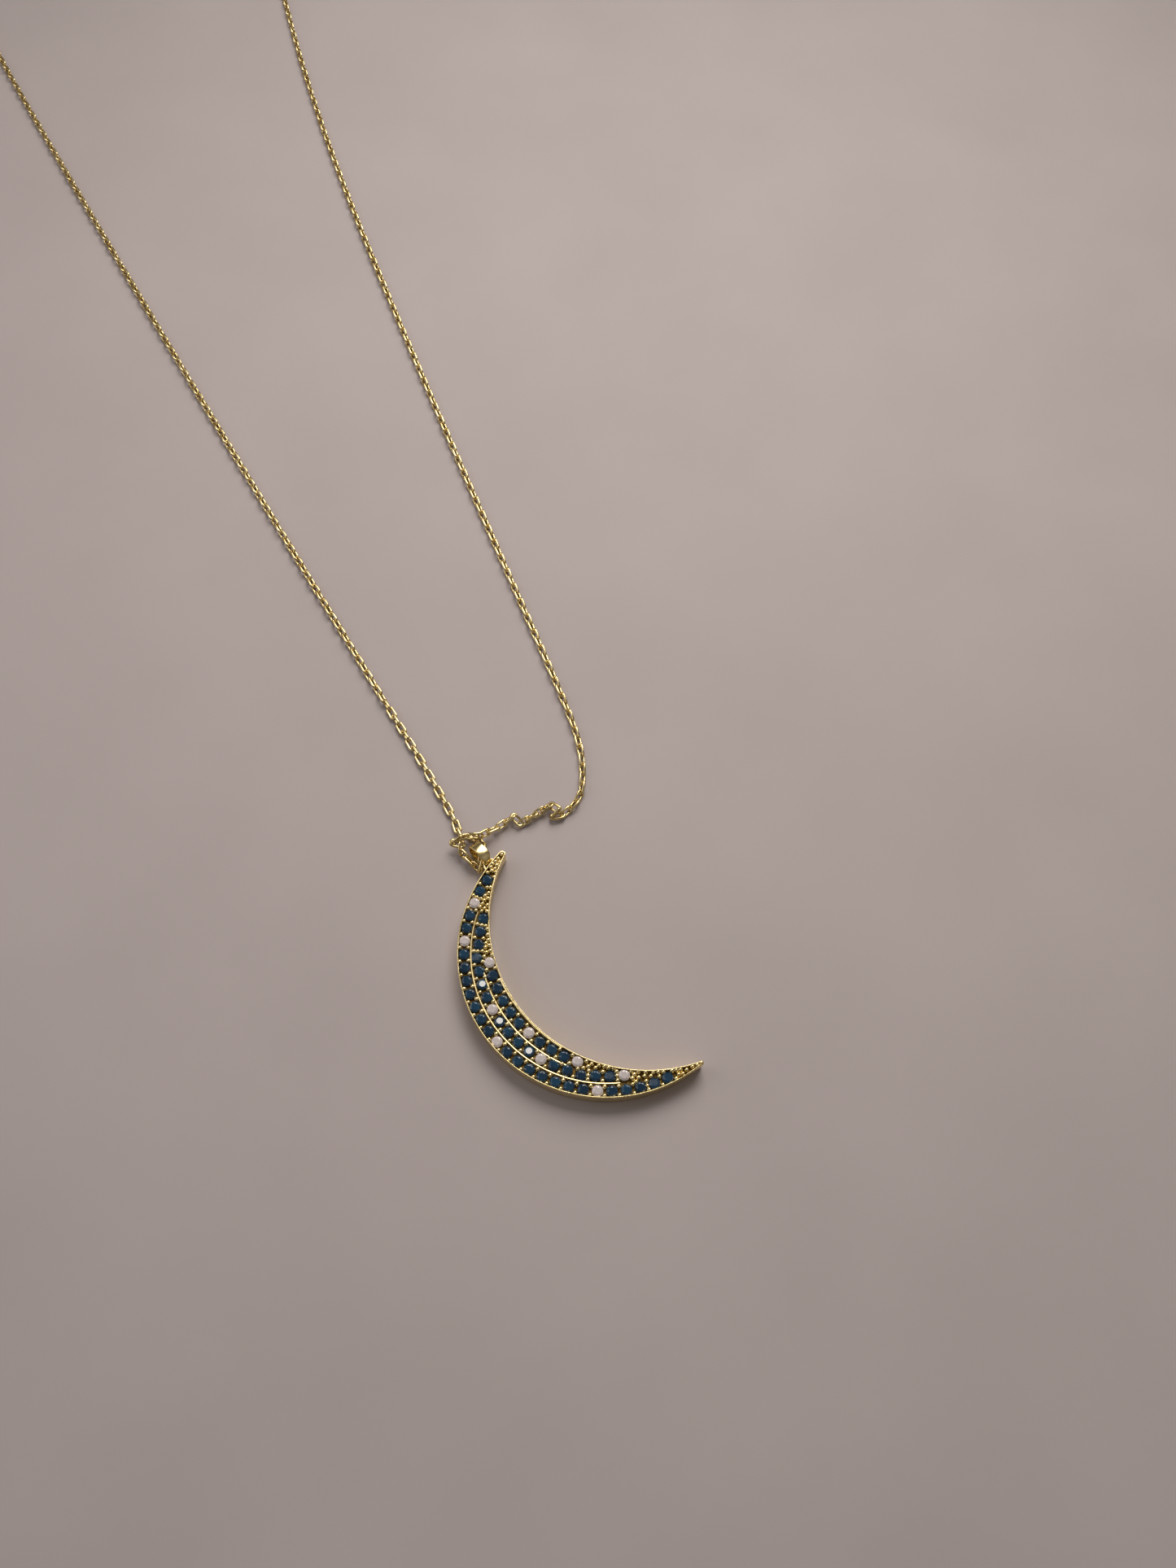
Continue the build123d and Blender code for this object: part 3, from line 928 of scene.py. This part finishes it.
cast_gold = gold("cast_plated_gold", "#F6E3AC", "#EAD494", 0.23, 0.35, 0.25)
drawn_gold = gold("drawn_plated_gold", "#EDDAA2", "#DCC486", 0.20, 0.15, 0.4)
print("golds", cast_gold.name, drawn_gold.name)


# %% [markdown]
# ### Stones
#
# The blue stones are cut glass of so deep a petrol colour that they look opaque, with a
# glassy polish. The clear ones are cubic zirconia, whose IOR of about 2.15 makes the facets
# throw back most of the light. Only a third of their light passes through: their pale
# pinkish-white body is painted brightness, for the light that a clear stone's facets gather.

# %% Blue and clear stone
def blue_stone():
    material, tree = new_material("petrol_blue_cut_glass")
    place_node = add_node(tree, "ShaderNodeTexCoord")
    cloud = add_node(tree, "ShaderNodeTexNoise", {
        "Vector": place_node.outputs["Object"], "Scale": per_mm(1.6), "Detail": 1.0})
    shade = add_node(tree, "ShaderNodeValToRGB", {"Fac": cloud.outputs["Fac"]})
    shade.color_ramp.elements[0].position = 0.3
    shade.color_ramp.elements[0].color = hex_colour("#0E2D44")
    shade.color_ramp.elements[1].position = 0.7
    shade.color_ramp.elements[1].color = hex_colour("#17425C")
    shader = add_node(tree, "ShaderNodeBsdfPrincipled", {
        "Base Color": shade.outputs["Color"], "Roughness": 0.07, "IOR": 1.7})
    add_node(tree, "ShaderNodeOutputMaterial", {"Surface": shader.outputs["BSDF"]})
    return material


def clear_stone():
    material, tree = new_material("zirconia_with_painted_brightness")
    place_node = add_node(tree, "ShaderNodeTexCoord")
    cloud = add_node(tree, "ShaderNodeTexNoise", {
        "Vector": place_node.outputs["Object"], "Scale": per_mm(0.5), "Detail": 1.0})
    shade = add_node(tree, "ShaderNodeValToRGB", {"Fac": cloud.outputs["Fac"]})
    # Painted brightness: a pale pinkish-white body under a third transmission, for the light that
    # a colourless stone's facets gather.
    shade.color_ramp.elements[0].color = hex_colour("#FFEFEB")
    shade.color_ramp.elements[1].color = hex_colour("#FFF8F4")
    shader = add_node(tree, "ShaderNodeBsdfPrincipled", {
        "Base Color": shade.outputs["Color"], "Roughness": 0.03, "IOR": 2.15,
        "Transmission Weight": 0.35})
    add_node(tree, "ShaderNodeOutputMaterial", {"Surface": shader.outputs["BSDF"]})
    return material


finishes = {chain: drawn_gold, crescent: cast_gold, bail: drawn_gold, clasp: drawn_gold,
            blue_stones: blue_stone(), clear_stones: clear_stone()}
for piece, material in finishes.items():
    piece.data.materials.clear()
    piece.data.materials.append(material)
print("finished", len(finishes), "pieces")

# %% Painted shade: darker gold between the stones
# The darkness of this gold is painted shade, for the shadow between the stones. The seats under
# clear stones and the half ring are left out of it.
painted_shade_recess_gold = gold("gold_with_painted_shade_between_stones", "#957A42", "#6A5228", 0.45, 0.6, 0.15)
crescent.data.materials.append(painted_shade_recess_gold)
bright_seats = [stone["spot"] for stone in stones if stone["kind"] == "c"]
seat_bottom, above_deck = 1.2 * MM, 0.1 * MM
ring_reach, ring_clear_height = 1.0 * MM, 1.4 * MM
edit(crescent, "FACE")


def in_painted_shade_recess(face):
    """The deck and the seats that get the painted shade, but not the half ring or the seats under
    clear stones.
    """
    spot = face.calc_center_median()
    return (seat_bottom < spot.z < deck_height + above_deck and face.normal.z > 0.3
            and (spot.z > ring_clear_height or (spot.xy - loop_middle).length > ring_reach)
            and clear(spot.xy, bright_seats, seat_radius))


print("faces between the stones", choose(crescent, in_painted_shade_recess, "FACE"))
crescent.active_material_index = 1
bpy.ops.object.material_slot_assign()
done()

# %% Pieces on the frame
for piece, node, slot in ((chain, "chain", "drawn_gold"), (crescent, "crescent", "cast_gold"),
                          (bail, "bail", "drawn_gold"), (clasp, "clasp", "drawn_gold"),
                          (blue_stones, "blue_stones", "blue_stone"),
                          (clear_stones, "clear_stones", "clear_stone")):
    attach(piece, "root")
    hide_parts(node)
print("pieces ride on root")

# %% [markdown]
# ## Table top and light
#
# The table is a plain warm grey board. The soft studio has a large light behind on the
# right, a weaker one on the left, a faint one in front and grey all round. A small lamp
# makes the glints in the stones. Metal shows mostly what stands around it, so the grey
# surroundings matter as much as the lamps.

# %% Table top
bpy.ops.object.select_all(action="DESELECT")
bpy.ops.mesh.primitive_plane_add(size=16)
table = bpy.context.object
table.name = "table_top"
board, tree = new_material("pale_board")
place_node = add_node(tree, "ShaderNodeTexCoord")
mottle = add_node(tree, "ShaderNodeTexNoise", {
    "Vector": place_node.outputs["Object"], "Scale": per_mm(22), "Detail": 4.0})
shade = add_node(tree, "ShaderNodeValToRGB", {"Fac": mottle.outputs["Fac"]})
shade.color_ramp.elements[0].position = 0.3
shade.color_ramp.elements[0].color = hex_colour("#B7ACA9")
shade.color_ramp.elements[1].position = 0.7
shade.color_ramp.elements[1].color = hex_colour("#BCB1AE")
shader = add_node(tree, "ShaderNodeBsdfPrincipled", {
    "Base Color": shade.outputs["Color"], "Roughness": 0.75})
add_node(tree, "ShaderNodeOutputMaterial", {"Surface": shader.outputs["BSDF"]})
table.data.materials.append(board)
print("table", table.dimensions[:2])


# %% Lights
def soft_light(name, spot, target, size, power, spread, colour):
    """A square area light at a place, aimed at a point, its beam as wide as an angle."""
    bpy.ops.object.light_add(type="AREA", location=spot)
    lamp = bpy.context.object
    lamp.name = name
    lamp.data.size = size * MM
    lamp.data.energy = power
    lamp.data.color = hex_colour(colour)[:3]
    lamp.data.spread = math.radians(spread)
    lamp.rotation_euler = (target - lamp.location).to_track_quat("-Z", "Y").to_euler()
    return lamp


pendant = Vector((-8, -104, 0)) * MM
above = Vector((10, -65, 0)) * MM
key = soft_light("key", Vector((140, 100, 235)) * MM, above, 250, 0.235, 80, "#FFFAF6")
left = soft_light("left", Vector((-300, 160, 300)) * MM, above, 400, 0.098, 68, "#FBF8FF")
front = soft_light("front", Vector((190, -330, 300)) * MM, pendant, 300, 0.018, 110, "#FFFAF4")
glint = soft_light("glint", small_lamp_place, pendant, 40, 0.016, 150, "#FFF6E8")
world = bpy.data.worlds.new("studio")
bpy.context.scene.world = world
world.use_nodes = True
world.node_tree.nodes["Background"].inputs["Color"].default_value = hex_colour("#9A948F")
world.node_tree.nodes["Background"].inputs["Strength"].default_value = 0.43
bpy.context.scene.view_settings.view_transform = "Standard"
print("lights", key.name, left.name, front.name, glint.name)
